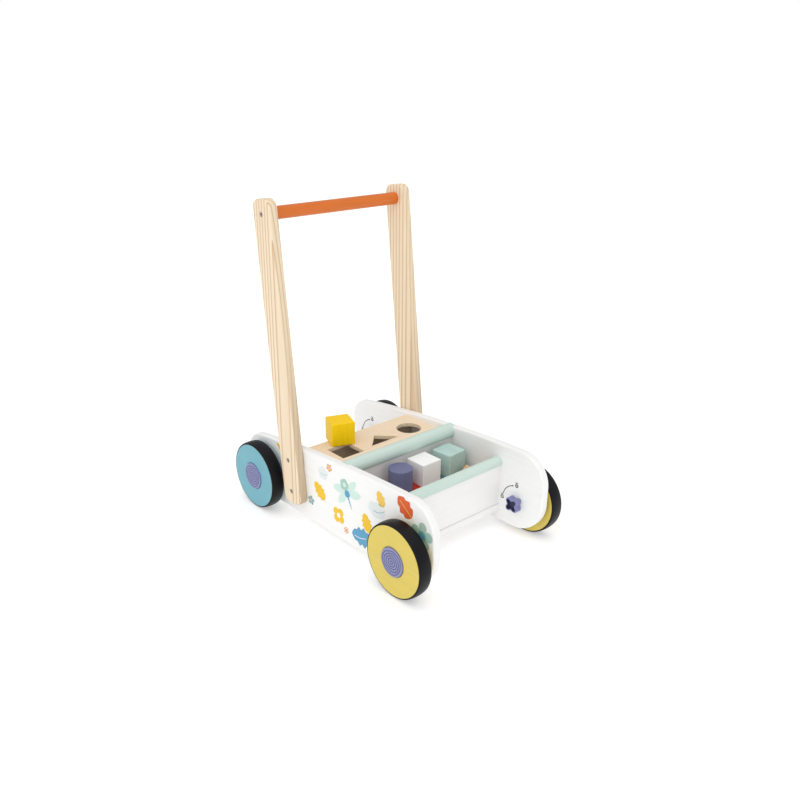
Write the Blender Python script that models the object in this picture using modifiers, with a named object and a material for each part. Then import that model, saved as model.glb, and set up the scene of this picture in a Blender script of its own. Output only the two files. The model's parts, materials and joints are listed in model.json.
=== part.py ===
"""Wooden baby walker: a box trolley on four brake-knob wheels, with push handle, shape sorter and blocks.

Metres, +Z up. The origin is on the floor under the middle of the wheels. The front looks along -Y and the
walker's left side is +X, so "right" pieces are at -X.
"""

import math

import bmesh
import bpy
from mathutils import Euler, Matrix, Vector

# Driving dimensions -------------------------------------------------------------------------------------

GAP = 0.0003                    # clearance between pieces that touch

BODY_WIDTH = 0.250              # over the outer faces of the side panels
PANEL_THICKNESS = 0.014
PANEL_EDGE_ROUND = 0.0025
PANEL_FRONT_OVERHANG = 0.0521   # from the front axle to the panel's front end
PANEL_REAR_OVERHANG = 0.0575
PANEL_BOTTOM_Z = 0.013
PANEL_FRONT_TOP_Z = 0.150
PANEL_REAR_TOP_Z = 0.1196
PANEL_TOP_CROWN = 0.0062        # how far the top edge bows above the line between its ends
FRONT_TOP_RADIUS = 0.049
FRONT_LOW_RADIUS = 0.059
REAR_TOP_RADIUS = 0.036
REAR_TOP_TURN = 81.5            # degrees of the rear top corner's arc, up to where the top edge leaves it
REAR_LOW_RADIUS = 0.061
GROOVE_DEPTH = 0.004            # how far the boards are let into the side panels

WHEELBASE = 0.359
WHEEL_RADIUS = 0.0585           # over the tyre
TYRE_SHOULDER_DROP = 0.0013     # how much lower the tread is at its edges
TYRE_BAND = 0.0032              # thickness of the rubber at the crown
WHEEL_WIDTH = 0.0235
WHEEL_FACETS = 36
WASHER_THICKNESS = 0.0068
WASHER_RADIUS = 0.015
AXLE_RADIUS = 0.004
AXLE_CLEARANCE = 0.0004
AXLE_HEAD_RADIUS = 0.008
AXLE_HEAD_HEIGHT = 0.0045
HUB_RADIUS = 0.0226
HUB_GAP = 0.0009                # the ring-shaped gap round the hub cap
HUB_THICKNESS = 0.0040
HUB_PROUD = 0.0020              # how far the hub cap stands out of the wheel's face

KNOB_RADIUS = 0.0114            # mean radius of the four-lobed knob
KNOB_LOBE = 0.0024
KNOB_THICKNESS = 0.0130
KNOB_BORE_DEPTH = 0.0075

FLOOR_THICKNESS = 0.011
FLOOR_BOTTOM_Z = 0.0304
FLOOR_TONGUE = 0.005            # thickness of the tongues along the floor's ends, let into the side panels
FLOOR_LIP = 0.0035              # how far the floor stands out in front of the front wall
FRONT_WALL_BEHIND_AXLE = 0.0379  # from the front axle back to the wall's front face
WALL_THICKNESS = 0.009
FRONT_RAIL_RADIUS = 0.0087
FRONT_RAIL_Z = 0.1184
MID_RAIL_RADIUS = 0.0121
MID_RAIL_Z = 0.1345
RAIL_SLOT_DEPTH = 0.004         # how far a wall goes up into the rail on top of it
RAIL_SOCKET_DEPTH = 0.005
REAR_WALL_INSET = 0.0065        # how far the sorter board stands out behind the rear wall
WAY_OUT_SPARE = 0.0028          # room over a block that is drawn out under the divider wall
TRAY_SPARE = 0.0139             # what two rows of blocks leave free between the rails

SORTER_TOP_Z = 0.1296
SORTER_THICKNESS = 0.006
SORTER_DEPTH = 0.097
SQUARE_HOLE_INSET = 0.044       # from the panel's inner face to the middle of the square hole
ROUND_HOLE_INSET = 0.0386
HOLE_PLAY = 0.00175             # room round a cube or a cylinder in its hole, on each side
TRIANGLE_BASE = 0.0604
TRIANGLE_HEIGHT = 0.0295
TRIANGLE_HOLE_X = 0.0065
HOLES_INSET = 0.048             # from the board's front edge to the line through the holes' middles

POST_THICKNESS = 0.0157
POST_WIDTH = 0.0457
POST_LEAN = math.radians(6.34)  # the posts lean back by this
POST_WHEEL_CLEARANCE = 0.0095   # between a post and the rear tyre, at the height of the axle
POST_ABOVE_HANDLE = 0.023
POST_BELOW_HANDLE = 0.4706
POST_CORNER_RADIUS = 0.014
POST_EDGE_ROUND = 0.002
HANDLE_Z = 0.5051
HANDLE_RADIUS = 0.0101
HANDLE_SOCKET_DEPTH = 0.008
POST_BOLTS_DOWN = (0.3938, 0.4483)  # distances from the handle's axis, down along the post

BOLT_RADIUS = 0.002
BOLT_HEAD_RADIUS = 0.0035
BOLT_HEAD_HEIGHT = 0.004
BOLT_HEAD_SUNK = 0.0008
BOLT_TIP_SUNK = 0.0008          # how far a bolt's tip stays inside its nut
BOLT_CLEARANCE = 0.0004
NUT_RADIUS = 0.0036
NUT_FLANGE_RADIUS = 0.0065
NUT_FLANGE = 0.0012
NUT_LENGTH = 0.009
HANDLE_SCREW_LENGTH = 0.030
SMALL_FACETS = 14

BLOCK = 0.0395                  # edge of a cube, diameter of a cylinder
BLOCK_ROUND = 0.0012
LONG_BLOCK = 0.0790
ROOF_HEIGHT = 0.0198
BACK_ROW_PLAY = 0.00095         # between the back row of blocks and the middle rail
FRONT_ROW_PLAY = 0.00185        # between the front row and the front rail
MINT_CUBE_TURN = math.radians(3.5)
MINT_CUBE_FORWARD = 0.0013      # a turned cube stands this much further from the middle rail
MINT_CUBE_INSET = 0.034         # from the left panel's inner face to the middle of the mint cube
NATURAL_BLOCK_INSET = 0.024
WHITE_CUBE_SPACE = 0.0165       # between the mint and the white cube
VIOLET_CYLINDER_SPACE = 0.0115
RED_BLOCK_SHIFT = 0.033         # from the white cube's middle to the red block's
YELLOW_CUBE_X = -0.0512
YELLOW_CUBE_INSET = 0.015       # from the sorter's rear edge to the middle of the yellow cube
YELLOW_CUBE_TURN = math.radians(-20.8)

# Worked out from the driving dimensions -----------------------------------------------------------------

PANEL_OUTER_X = BODY_WIDTH / 2
PANEL_INNER_X = PANEL_OUTER_X - PANEL_THICKNESS
AXLE_Y = WHEELBASE / 2
PANEL_FRONT_Y = -AXLE_Y - PANEL_FRONT_OVERHANG
PANEL_REAR_Y = AXLE_Y + PANEL_REAR_OVERHANG
BOARD_LENGTH = 2 * (PANEL_INNER_X + GROOVE_DEPTH - GAP)
FLOOR_TOP_Z = FLOOR_BOTTOM_Z + FLOOR_THICKNESS
FLOOR_TONGUE_LOW_Z = FLOOR_BOTTOM_Z + (FLOOR_THICKNESS - FLOOR_TONGUE) / 2
FLOOR_TONGUE_TOP_Z = FLOOR_TONGUE_LOW_Z + FLOOR_TONGUE

FRONT_WALL_Y = -AXLE_Y + FRONT_WALL_BEHIND_AXLE
FRONT_RAIL_Y = FRONT_WALL_Y + WALL_THICKNESS / 2
MID_RAIL_Y = FRONT_RAIL_Y + FRONT_RAIL_RADIUS + 2 * BLOCK + TRAY_SPARE + MID_RAIL_RADIUS
SORTER_FRONT_Y = MID_RAIL_Y + MID_RAIL_RADIUS + GAP
SORTER_REAR_Y = SORTER_FRONT_Y + SORTER_DEPTH
HOLES_Y = SORTER_FRONT_Y + HOLES_INSET
SQUARE_HOLE = BLOCK + 2 * HOLE_PLAY
ROUND_HOLE_RADIUS = BLOCK / 2 + HOLE_PLAY
SQUARE_HOLE_X = SQUARE_HOLE_INSET - PANEL_INNER_X
ROUND_HOLE_X = PANEL_INNER_X - ROUND_HOLE_INSET

POST_INNER_X = PANEL_OUTER_X + GAP
POST_OUTER_X = POST_INNER_X + POST_THICKNESS
POST_AT_AXLE_Y = AXLE_Y - WHEEL_RADIUS - POST_WHEEL_CLEARANCE - POST_WIDTH / 2 / math.cos(POST_LEAN)
HANDLE_Y = POST_AT_AXLE_Y + (HANDLE_Z - WHEEL_RADIUS) * math.tan(POST_LEAN)
BOLT_SEAT_X = POST_OUTER_X - BOLT_HEAD_SUNK - BOLT_HEAD_HEIGHT
BOLT_LENGTH = BOLT_SEAT_X - PANEL_INNER_X - BOLT_TIP_SUNK

WASHER_INNER_X = PANEL_OUTER_X + GAP
WHEEL_INNER_X = WASHER_INNER_X + WASHER_THICKNESS + GAP
WHEEL_OUTER_X = WHEEL_INNER_X + WHEEL_WIDTH
TYRE_EDGE_RADIUS = WHEEL_RADIUS - TYRE_SHOULDER_DROP
WHEEL_DISC_RADIUS = WHEEL_RADIUS - TYRE_BAND - GAP
HUB_OUTER_X = WHEEL_OUTER_X + HUB_PROUD
HUB_INNER_X = HUB_OUTER_X - HUB_THICKNESS
HUB_SEAT_X = HUB_INNER_X - GAP
AXLE_HEAD_X = HUB_SEAT_X - GAP - AXLE_HEAD_HEIGHT
KNOB_OUTER_X = PANEL_INNER_X - GAP
AXLE_TIP_X = KNOB_OUTER_X - KNOB_BORE_DEPTH + 2 * GAP
AXLE_HOLE_RADIUS = AXLE_RADIUS + AXLE_CLEARANCE

LOWER_BLOCK_Z = FLOOR_TOP_Z + GAP
UPPER_BLOCK_Z = LOWER_BLOCK_Z + BLOCK + GAP
DIVIDER_LOW_Z = LOWER_BLOCK_Z + BLOCK + WAY_OUT_SPARE
BACK_ROW_Y = MID_RAIL_Y - MID_RAIL_RADIUS - BACK_ROW_PLAY - BLOCK / 2
FRONT_ROW_Y = FRONT_RAIL_Y + FRONT_RAIL_RADIUS + FRONT_ROW_PLAY + BLOCK / 2
MINT_CUBE_X = PANEL_INNER_X - MINT_CUBE_INSET
WHITE_CUBE_X = MINT_CUBE_X - BLOCK - WHITE_CUBE_SPACE
VIOLET_CYLINDER_X = WHITE_CUBE_X - BLOCK - VIOLET_CYLINDER_SPACE

COLOURS = {
    "white_paint": (0.90, 0.91, 0.90), "mint_paint": (0.55, 0.76, 0.66), "board_wood": (0.83, 0.68, 0.48),
    "pine": (0.86, 0.72, 0.50), "orange_paint": (0.66, 0.16, 0.03), "teal_paint": (0.20, 0.46, 0.53),
    "mustard_paint": (0.72, 0.57, 0.13), "violet_paint": (0.20, 0.20, 0.40), "rubber": (0.012, 0.012, 0.015),
    "steel": (0.55, 0.55, 0.56), "nylon": (0.75, 0.75, 0.74), "yellow_paint": (0.84, 0.55, 0.02),
    "red_paint": (0.52, 0.03, 0.02), "natural_wood": (0.60, 0.38, 0.20),
}

PARTS = "baby_walker"
CUTTERS = "cutters"


# Scene helpers ------------------------------------------------------------------------------------------

def clear_scene():
    for thing in list(bpy.data.objects):
        bpy.data.objects.remove(thing, do_unlink=True)
    for name in (PARTS, CUTTERS):
        collection = bpy.data.collections.new(name)
        bpy.context.scene.collection.children.link(collection)


def material(name):
    found = bpy.data.materials.get(name)
    if found:
        return found
    made = bpy.data.materials.new(name)
    made.use_nodes = True
    shader = made.node_tree.nodes["Principled BSDF"]
    shader.inputs["Base Color"].default_value = (*COLOURS[name], 1.0)
    shader.inputs["Metallic"].default_value = 1.0 if name == "steel" else 0.0
    shader.inputs["Roughness"].default_value = {"rubber": 0.7, "steel": 0.3}.get(name, 0.45)
    return made


def add_object(name, data, place=(0, 0, 0), turn=(0, 0, 0), parent=None, paint=None):
    """Link an object; pieces get a paint, cutters don't."""
    made = bpy.data.objects.new(name, data)
    made.location = place
    made.rotation_euler = Euler(turn)
    made.parent = parent
    if paint:
        data.materials.append(material(paint))
        bpy.data.collections[PARTS].objects.link(made)
    else:
        made.hide_render = True
        made.display_type = "WIRE"
        bpy.data.collections[CUTTERS].objects.link(made)
    return made


def add_empty(name, place, turn=(0, 0, 0), parent=None):
    made = bpy.data.objects.new(name, None)
    made.location = place
    made.rotation_euler = Euler(turn)
    made.parent = parent
    bpy.data.collections[PARTS].objects.link(made)
    return made


def mesh_from(build, name):
    """A mesh made by a function that fills a bmesh."""
    shape = bmesh.new()
    build(shape)
    mesh = bpy.data.meshes.new(name)
    shape.to_mesh(mesh)
    shape.free()
    return mesh


def box_mesh(name, size):
    def build(shape):
        bmesh.ops.create_cube(shape, size=1.0)
        bmesh.ops.scale(shape, vec=Vector(size), verts=shape.verts)
    return mesh_from(build, name)


def corner_radius(radius, facets):
    """The radius of the corners of a faceted circle whose facets' middles lie on the given radius."""
    return radius / math.cos(math.pi / facets)


def rod_mesh(name, radius, length, facets):
    """A cylinder along X, with a flat facet facing down."""
    def build(shape):
        reach = corner_radius(radius, facets)
        bmesh.ops.create_cone(shape, cap_ends=True, segments=facets, radius1=reach, radius2=reach,
                              depth=length)
        bmesh.ops.rotate(shape, matrix=Matrix.Rotation(math.pi / facets, 3, "Z"), verts=shape.verts)
        bmesh.ops.rotate(shape, matrix=Matrix.Rotation(math.pi / 2, 3, "Y"), verts=shape.verts)
    return mesh_from(build, name)


def smooth(piece, degrees=35):
    piece.data.shade_smooth()
    piece.data.set_sharp_from_angle(angle=math.radians(degrees))


def round_edges(piece, width, segments=2):
    bevel = piece.modifiers.new("rounded", "BEVEL")
    bevel.width = width
    bevel.segments = segments
    bevel.limit_method = "ANGLE"
    bevel.angle_limit = math.radians(40)


def cut(piece, *cutters):
    for cutter in cutters:
        boolean = piece.modifiers.new("cut_" + cutter.name, "BOOLEAN")
        boolean.operation = "DIFFERENCE"
        boolean.solver = "EXACT"
        boolean.object = cutter


def box_cutter(name, low, high, parent=None):
    size = [b - a for a, b in zip(low, high)]
    middle = [(a + b) / 2 for a, b in zip(low, high)]
    return add_object(name, box_mesh(name, size), middle, parent=parent)


def rod_cutter(name, radius, start_x, end_x, y, z, facets=SMALL_FACETS, parent=None):
    mesh = rod_mesh(name, radius, abs(end_x - start_x), facets)
    return add_object(name, mesh, ((start_x + end_x) / 2, y, z), parent=parent)


def plate_mesh(name, outline, thickness, edge_round):
    """A flat outline with rounded edges: outline x, y run along world Y, Z and its thickness along X."""
    curve = bpy.data.curves.new(name, "CURVE")
    curve.dimensions = "2D"
    curve.fill_mode = "BOTH"
    curve.extrude = thickness / 2 - edge_round
    curve.bevel_depth = edge_round
    curve.bevel_resolution = 1
    curve.offset = -edge_round
    line = curve.splines.new("POLY")
    line.points.add(len(outline) - 1)
    for point, (y, z) in zip(line.points, outline):
        point.co = (y, z, 0, 1)
    line.use_cyclic_u = True
    guide = bpy.data.objects.new(name, curve)
    bpy.context.scene.collection.objects.link(guide)
    bpy.context.view_layer.update()
    mesh = bpy.data.meshes.new_from_object(guide.evaluated_get(bpy.context.evaluated_depsgraph_get()))
    bpy.data.objects.remove(guide)
    bpy.data.curves.remove(curve)
    shape = bmesh.new()
    shape.from_mesh(mesh)
    bmesh.ops.remove_doubles(shape, verts=shape.verts, dist=1e-6)
    bmesh.ops.rotate(shape, matrix=Euler((math.pi / 2, 0, math.pi / 2)).to_matrix(), verts=shape.verts)
    bmesh.ops.recalc_face_normals(shape, faces=shape.faces)
    shape.to_mesh(mesh)
    shape.free()
    return mesh


def arc(middle, radius, start, end, steps):
    """Points of an arc, angles in degrees."""
    angles = [math.radians(start + (end - start) * step / steps) for step in range(steps + 1)]
    return [(middle[0] + radius * math.cos(a), middle[1] + radius * math.sin(a)) for a in angles]


def turned(name, profile, facets, place, side, parent, paint):
    """A turned piece about an axle: profile points are (distance from the mid plane, radius), outwards along
    the outer side, in a closed loop or from axis to axis. side is +1 for the left and -1 for the right."""
    half_facet = math.pi / facets
    points = [(corner_radius(r, facets), x) for x, r in reversed(profile)]
    mesh = bpy.data.meshes.new(name)
    corners = [(r * math.cos(half_facet), r * math.sin(half_facet), x) for r, x in points]
    closed = profile[0][1] > 0
    edges = [(i, i + 1) for i in range(len(corners) - 1)] + ([(len(corners) - 1, 0)] if closed else [])
    mesh.from_pydata(corners, edges, [])
    piece = add_object(name, mesh, place, (0, side * math.pi / 2, 0), parent, paint)
    screw = piece.modifiers.new("turned", "SCREW")
    screw.axis = "Z"
    screw.steps = facets
    screw.render_steps = facets
    screw.use_merge_vertices = True
    screw.merge_threshold = 0.00001
    return piece


# The body -----------------------------------------------------------------------------------------------

def rear_top_arc():
    return arc((PANEL_REAR_Y - REAR_TOP_RADIUS, PANEL_REAR_TOP_Z - REAR_TOP_RADIUS), REAR_TOP_RADIUS,
               0, REAR_TOP_TURN, 9)


def top_edge(steps):
    """The panel's top edge from the rear corner's end to the front corner's start, slightly bowed."""
    rear = Vector(rear_top_arc()[-1])
    front = Vector((PANEL_FRONT_Y + FRONT_TOP_RADIUS, PANEL_FRONT_TOP_Z))
    points = []
    for step in range(1, steps):
        share = step / steps
        y, z = rear.lerp(front, share)
        points.append((y, z + PANEL_TOP_CROWN * 4 * share * (1 - share)))
    return points


def panel_outline():
    low, rear, front = PANEL_BOTTOM_Z, PANEL_REAR_Y, PANEL_FRONT_Y
    outline = arc((rear - REAR_LOW_RADIUS, low + REAR_LOW_RADIUS), REAR_LOW_RADIUS, -90, 0, 9)
    outline += rear_top_arc()
    outline += top_edge(9)
    outline += arc((front + FRONT_TOP_RADIUS, PANEL_FRONT_TOP_Z - FRONT_TOP_RADIUS),
                   FRONT_TOP_RADIUS, 90, 180, 10)
    outline += arc((front + FRONT_LOW_RADIUS, low + FRONT_LOW_RADIUS), FRONT_LOW_RADIUS, 180, 270, 10)
    return outline


def board_grooves():
    """Cutters for the grooves and sockets of the boards and rails, through both panels' inner faces."""
    reach = PANEL_INNER_X + GROOVE_DEPTH
    rail_reach = PANEL_INNER_X + RAIL_SOCKET_DEPTH
    wall_half = WALL_THICKNESS / 2 + GAP
    yield box_cutter("floor_groove", (-reach, FRONT_WALL_Y - FLOOR_LIP - GAP, FLOOR_TONGUE_LOW_Z - GAP),
                     (reach, SORTER_REAR_Y + GAP, FLOOR_TONGUE_TOP_Z + GAP))
    yield box_cutter("sorter_groove", (-reach, MID_RAIL_Y, SORTER_TOP_Z - SORTER_THICKNESS - GAP),
                     (reach, SORTER_REAR_Y + GAP, SORTER_TOP_Z + GAP))
    for name, y, wall_low, rail_z in (("front", FRONT_RAIL_Y, FLOOR_TOP_Z, FRONT_RAIL_Z),
                                      ("divider", MID_RAIL_Y, DIVIDER_LOW_Z, MID_RAIL_Z)):
        yield box_cutter(name + "_groove", (-reach, y - wall_half, wall_low - GAP),
                         (reach, y + wall_half, rail_z))
    for name, y, z, radius in (("front", FRONT_RAIL_Y, FRONT_RAIL_Z, FRONT_RAIL_RADIUS),
                               ("mid", MID_RAIL_Y, MID_RAIL_Z, MID_RAIL_RADIUS)):
        yield rod_cutter(name + "_rail_socket", radius + GAP, -rail_reach, rail_reach, y, z, 24)


def bolt_hole_cutters(tilt):
    """Cutters through a post and a panel on both sides: bore, sunk head, and the seat of the flanged nut."""
    for number, down in enumerate(POST_BOLTS_DOWN):
        reach = POST_OUTER_X + 0.01
        yield rod_cutter(f"bolt_bore_{number}", BOLT_RADIUS + BOLT_CLEARANCE, -reach, reach, 0, -down,
                         parent=tilt)
        for side in (-1, 1):
            nut_end = PANEL_INNER_X + NUT_LENGTH + GAP
            yield rod_cutter(f"nut_bore_{number}_{side}", NUT_RADIUS + GAP, side * (PANEL_INNER_X - 0.01),
                             side * nut_end, 0, -down, parent=tilt)
            yield rod_cutter(f"nut_seat_{number}_{side}", NUT_FLANGE_RADIUS + GAP,
                             side * (PANEL_INNER_X - 0.01), side * (PANEL_INNER_X + NUT_FLANGE + GAP),
                             0, -down, parent=tilt)


def side_panels(tilt):
    outline = panel_outline()
    grooves = list(board_grooves())
    bolts = list(bolt_hole_cutters(tilt))
    axles = [rod_cutter(f"axle_bore_{end}", AXLE_HOLE_RADIUS, -PANEL_OUTER_X - 0.01, PANEL_OUTER_X + 0.01,
                        end * AXLE_Y, WHEEL_RADIUS) for end in (-1, 1)]
    for name, side in (("right", -1), ("left", 1)):
        mesh = plate_mesh(name + "_side_panel", outline, PANEL_THICKNESS, PANEL_EDGE_ROUND)
        panel = add_object(name + "_side_panel", mesh, (side * (PANEL_INNER_X + PANEL_THICKNESS / 2), 0, 0),
                           paint="white_paint")
        smooth(panel, 50)
        cut(panel, *grooves, *axles, *bolts)


def board(name, y_low, y_high, z_low, z_high, length, paint, edge_round):
    middle = (0, (y_low + y_high) / 2, (z_low + z_high) / 2)
    mesh = box_mesh(name, (length, y_high - y_low, z_high - z_low))
    piece = add_object(name, mesh, middle, paint=paint)
    round_edges(piece, edge_round)
    return piece


def boards():
    floor = board("floor_board", FRONT_WALL_Y - FLOOR_LIP, SORTER_REAR_Y, FLOOR_BOTTOM_Z, FLOOR_TOP_Z,
                  BOARD_LENGTH, "white_paint", 0.003)
    shoulder = PANEL_INNER_X - GAP
    for side in (-1, 1):
        for level, z_low, z_high in (("under", FLOOR_BOTTOM_Z - 0.01, FLOOR_TONGUE_LOW_Z),
                                     ("over", FLOOR_TONGUE_TOP_Z, FLOOR_TOP_Z + 0.01)):
            x_low, x_high = sorted((side * shoulder, side * PANEL_OUTER_X))
            cut(floor, box_cutter(f"rebate_{level}_{side}", (x_low, PANEL_FRONT_Y, z_low),
                                  (x_high, PANEL_REAR_Y, z_high)))
    for name, y, low, rail_z, radius in (
            ("front_wall", FRONT_RAIL_Y, FLOOR_TOP_Z + GAP, FRONT_RAIL_Z, FRONT_RAIL_RADIUS),
            ("divider_wall", MID_RAIL_Y, DIVIDER_LOW_Z, MID_RAIL_Z, MID_RAIL_RADIUS)):
        top = rail_z - radius + RAIL_SLOT_DEPTH - GAP
        board(name, y - WALL_THICKNESS / 2, y + WALL_THICKNESS / 2, low, top, BOARD_LENGTH,
              "white_paint", 0.0006)
    rear_face = SORTER_REAR_Y - REAR_WALL_INSET
    board("rear_wall", rear_face - WALL_THICKNESS, rear_face, FLOOR_TOP_Z + GAP,
          SORTER_TOP_Z - SORTER_THICKNESS - GAP, 2 * (PANEL_INNER_X - GAP), "white_paint", 0.0006)


def rail(name, y, z, radius):
    half = PANEL_INNER_X + RAIL_SOCKET_DEPTH - GAP
    piece = add_object(name, rod_mesh(name, radius, 2 * half, 24), (0, y, z), paint="mint_paint")
    smooth(piece)
    slot_half = WALL_THICKNESS / 2 + GAP
    slot_top = z - radius + RAIL_SLOT_DEPTH
    cut(piece, box_cutter(name + "_slot", (-BODY_WIDTH, y - slot_half, z - 2 * radius),
                          (BODY_WIDTH, y + slot_half, slot_top)))


def triangle_cutter(name, middle, base, height, low, high):
    """An upright prism on an isosceles triangle whose point is at the back."""
    def build(shape):
        floor = [shape.verts.new((x, y, low)) for x, y in ((-base / 2, -height / 2), (base / 2, -height / 2),
                                                           (0, height / 2))]
        face = shape.faces.new(floor)
        raised = bmesh.ops.extrude_face_region(shape, geom=[face])["geom"]
        corners = [g for g in raised if isinstance(g, bmesh.types.BMVert)]
        bmesh.ops.translate(shape, vec=(0, 0, high - low), verts=corners)
        bmesh.ops.recalc_face_normals(shape, faces=shape.faces)
    return add_object(name, mesh_from(build, name), (*middle, 0))


def sorter_board():
    low, high = SORTER_TOP_Z - SORTER_THICKNESS, SORTER_TOP_Z
    piece = board("sorter_board", SORTER_FRONT_Y, SORTER_REAR_Y, low, high, BOARD_LENGTH,
                  "board_wood", 0.001)
    below, above = low - 0.01, high + 0.01
    half = SQUARE_HOLE / 2
    round_hole = add_object("round_hole", rod_mesh("round_hole", ROUND_HOLE_RADIUS, above - below, 32),
                            (ROUND_HOLE_X, HOLES_Y, (below + above) / 2), (0, math.pi / 2, 0))
    cut(piece,
        box_cutter("square_hole", (SQUARE_HOLE_X - half, HOLES_Y - half, below),
                   (SQUARE_HOLE_X + half, HOLES_Y + half, above)),
        triangle_cutter("triangle_hole", (TRIANGLE_HOLE_X, HOLES_Y), TRIANGLE_BASE, TRIANGLE_HEIGHT,
                        below, above),
        round_hole)


# The handle ---------------------------------------------------------------------------------------------

def post_outline():
    half, corner = POST_WIDTH / 2, POST_CORNER_RADIUS
    top, bottom = POST_ABOVE_HANDLE, -POST_BELOW_HANDLE
    outline = arc((half - corner, top - corner), corner, 0, 90, 6)
    outline += arc((corner - half, top - corner), corner, 90, 180, 6)
    outline += arc((corner - half, bottom + corner), corner, 180, 270, 6)
    outline += arc((half - corner, bottom + corner), corner, 270, 360, 6)
    return outline


def handle_frame(tilt):
    handle_half = POST_INNER_X + HANDLE_SOCKET_DEPTH - GAP
    socket = rod_cutter("handle_socket", HANDLE_RADIUS + GAP, -handle_half - GAP, handle_half + GAP,
                        0, 0, 24, tilt)
    screw_bore = rod_cutter("handle_screw_bore", BOLT_RADIUS + BOLT_CLEARANCE, -BODY_WIDTH, BODY_WIDTH, 0, 0,
                            parent=tilt)
    bolt_bores = [bpy.data.objects[f"bolt_bore_{number}"] for number in range(len(POST_BOLTS_DOWN))]
    outline = post_outline()
    for name, side in (("right", -1), ("left", 1)):
        mesh = plate_mesh(name + "_post", outline, POST_THICKNESS, POST_EDGE_ROUND)
        post = add_object(name + "_post", mesh, (side * (POST_INNER_X + POST_THICKNESS / 2), 0, 0),
                          parent=tilt, paint="pine")
        smooth(post, 50)
        sunk = [rod_cutter(f"{name}_head_seat_{number}", BOLT_HEAD_RADIUS + GAP,
                           side * (BOLT_SEAT_X - GAP),
                           side * (POST_OUTER_X + 0.01), 0, -down, parent=tilt)
                for number, down in enumerate((0.0, *POST_BOLTS_DOWN))]
        cut(post, socket, screw_bore, *bolt_bores, *sunk)
    bar = rod_mesh("handle_bar", HANDLE_RADIUS, 2 * handle_half, 24)
    handle = add_object("handle_bar", bar, parent=tilt,
                        paint="orange_paint")
    smooth(handle)
    pilot_end = BOLT_SEAT_X - HANDLE_SCREW_LENGTH - 2 * GAP
    for side in (-1, 1):
        cut(handle, rod_cutter(f"pilot_hole_{side}", BOLT_RADIUS + BOLT_CLEARANCE,
                               side * (handle_half + 0.01), side * pilot_end, 0, 0, parent=tilt))


def headed_pin(length):
    """Profile of a cap-head bolt or screw: x from the seat of the head, radius."""
    return [(-length, 0), (-length, BOLT_RADIUS), (0, BOLT_RADIUS), (0, BOLT_HEAD_RADIUS),
            (BOLT_HEAD_HEIGHT, BOLT_HEAD_RADIUS), (BOLT_HEAD_HEIGHT, 0)]


def nut_profile():
    bore = BOLT_RADIUS + GAP
    return [(0, bore), (0, NUT_FLANGE_RADIUS), (NUT_FLANGE, NUT_FLANGE_RADIUS), (NUT_FLANGE, NUT_RADIUS),
            (NUT_LENGTH, NUT_RADIUS), (NUT_LENGTH, bore)]


def fasteners(tilt):
    """Handle screws, post bolts and the flanged nuts in the panels' inner faces."""
    for name, side in (("right", -1), ("left", 1)):
        turned(name + "_handle_screw", headed_pin(HANDLE_SCREW_LENGTH), SMALL_FACETS,
               (side * BOLT_SEAT_X, 0, 0), side, tilt, "steel")
        for level, down in zip(("upper", "lower"), POST_BOLTS_DOWN):
            turned(f"{name}_{level}_post_bolt", headed_pin(BOLT_LENGTH), SMALL_FACETS,
                   (side * BOLT_SEAT_X, 0, -down), side, tilt, "steel")
            turned(f"{name}_{level}_post_nut", nut_profile(), SMALL_FACETS, (side * PANEL_INNER_X, 0, -down),
                   side, tilt, "steel")


# The wheels ---------------------------------------------------------------------------------------------

def wheel_profiles():
    """Profiles of one wheel's turned pieces: distance from the walker's mid plane, radius."""
    inner, outer, edge = WHEEL_INNER_X, WHEEL_OUTER_X, 0.0012
    seat_radius = WHEEL_DISC_RADIUS + GAP
    disc = [(inner, AXLE_HOLE_RADIUS), (inner, WHEEL_DISC_RADIUS - edge), (inner + edge, WHEEL_DISC_RADIUS),
            (outer - edge, WHEEL_DISC_RADIUS), (outer, WHEEL_DISC_RADIUS - edge),
            (outer, HUB_RADIUS + HUB_GAP), (HUB_SEAT_X, HUB_RADIUS + HUB_GAP),
            (HUB_SEAT_X, AXLE_HEAD_RADIUS + AXLE_CLEARANCE),
            (AXLE_HEAD_X - GAP, AXLE_HEAD_RADIUS + AXLE_CLEARANCE), (AXLE_HEAD_X - GAP, AXLE_HOLE_RADIUS)]
    band = [(inner + GAP, seat_radius), (inner + GAP, TYRE_EDGE_RADIUS),
            (inner + WHEEL_WIDTH / 6, WHEEL_RADIUS - TYRE_SHOULDER_DROP / 3),
            (inner + WHEEL_WIDTH / 3, WHEEL_RADIUS), (outer - WHEEL_WIDTH / 3, WHEEL_RADIUS),
            (outer - WHEEL_WIDTH / 6, WHEEL_RADIUS - TYRE_SHOULDER_DROP / 3),
            (outer - GAP, TYRE_EDGE_RADIUS), (outer - GAP, seat_radius)]
    cap = [(HUB_INNER_X, 0), (HUB_INNER_X, HUB_RADIUS), (HUB_OUTER_X - edge, HUB_RADIUS),
           (HUB_OUTER_X, HUB_RADIUS - edge), (HUB_OUTER_X, 0)]
    bolt = [(AXLE_TIP_X, 0), (AXLE_TIP_X, AXLE_RADIUS), (AXLE_HEAD_X, AXLE_RADIUS),
            (AXLE_HEAD_X, AXLE_HEAD_RADIUS), (AXLE_HEAD_X + AXLE_HEAD_HEIGHT, AXLE_HEAD_RADIUS),
            (AXLE_HEAD_X + AXLE_HEAD_HEIGHT, 0)]
    ring = [(WASHER_INNER_X, AXLE_HOLE_RADIUS), (WASHER_INNER_X, WASHER_RADIUS),
            (WASHER_INNER_X + WASHER_THICKNESS, WASHER_RADIUS),
            (WASHER_INNER_X + WASHER_THICKNESS, AXLE_HOLE_RADIUS)]
    return disc, band, cap, bolt, ring


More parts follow.
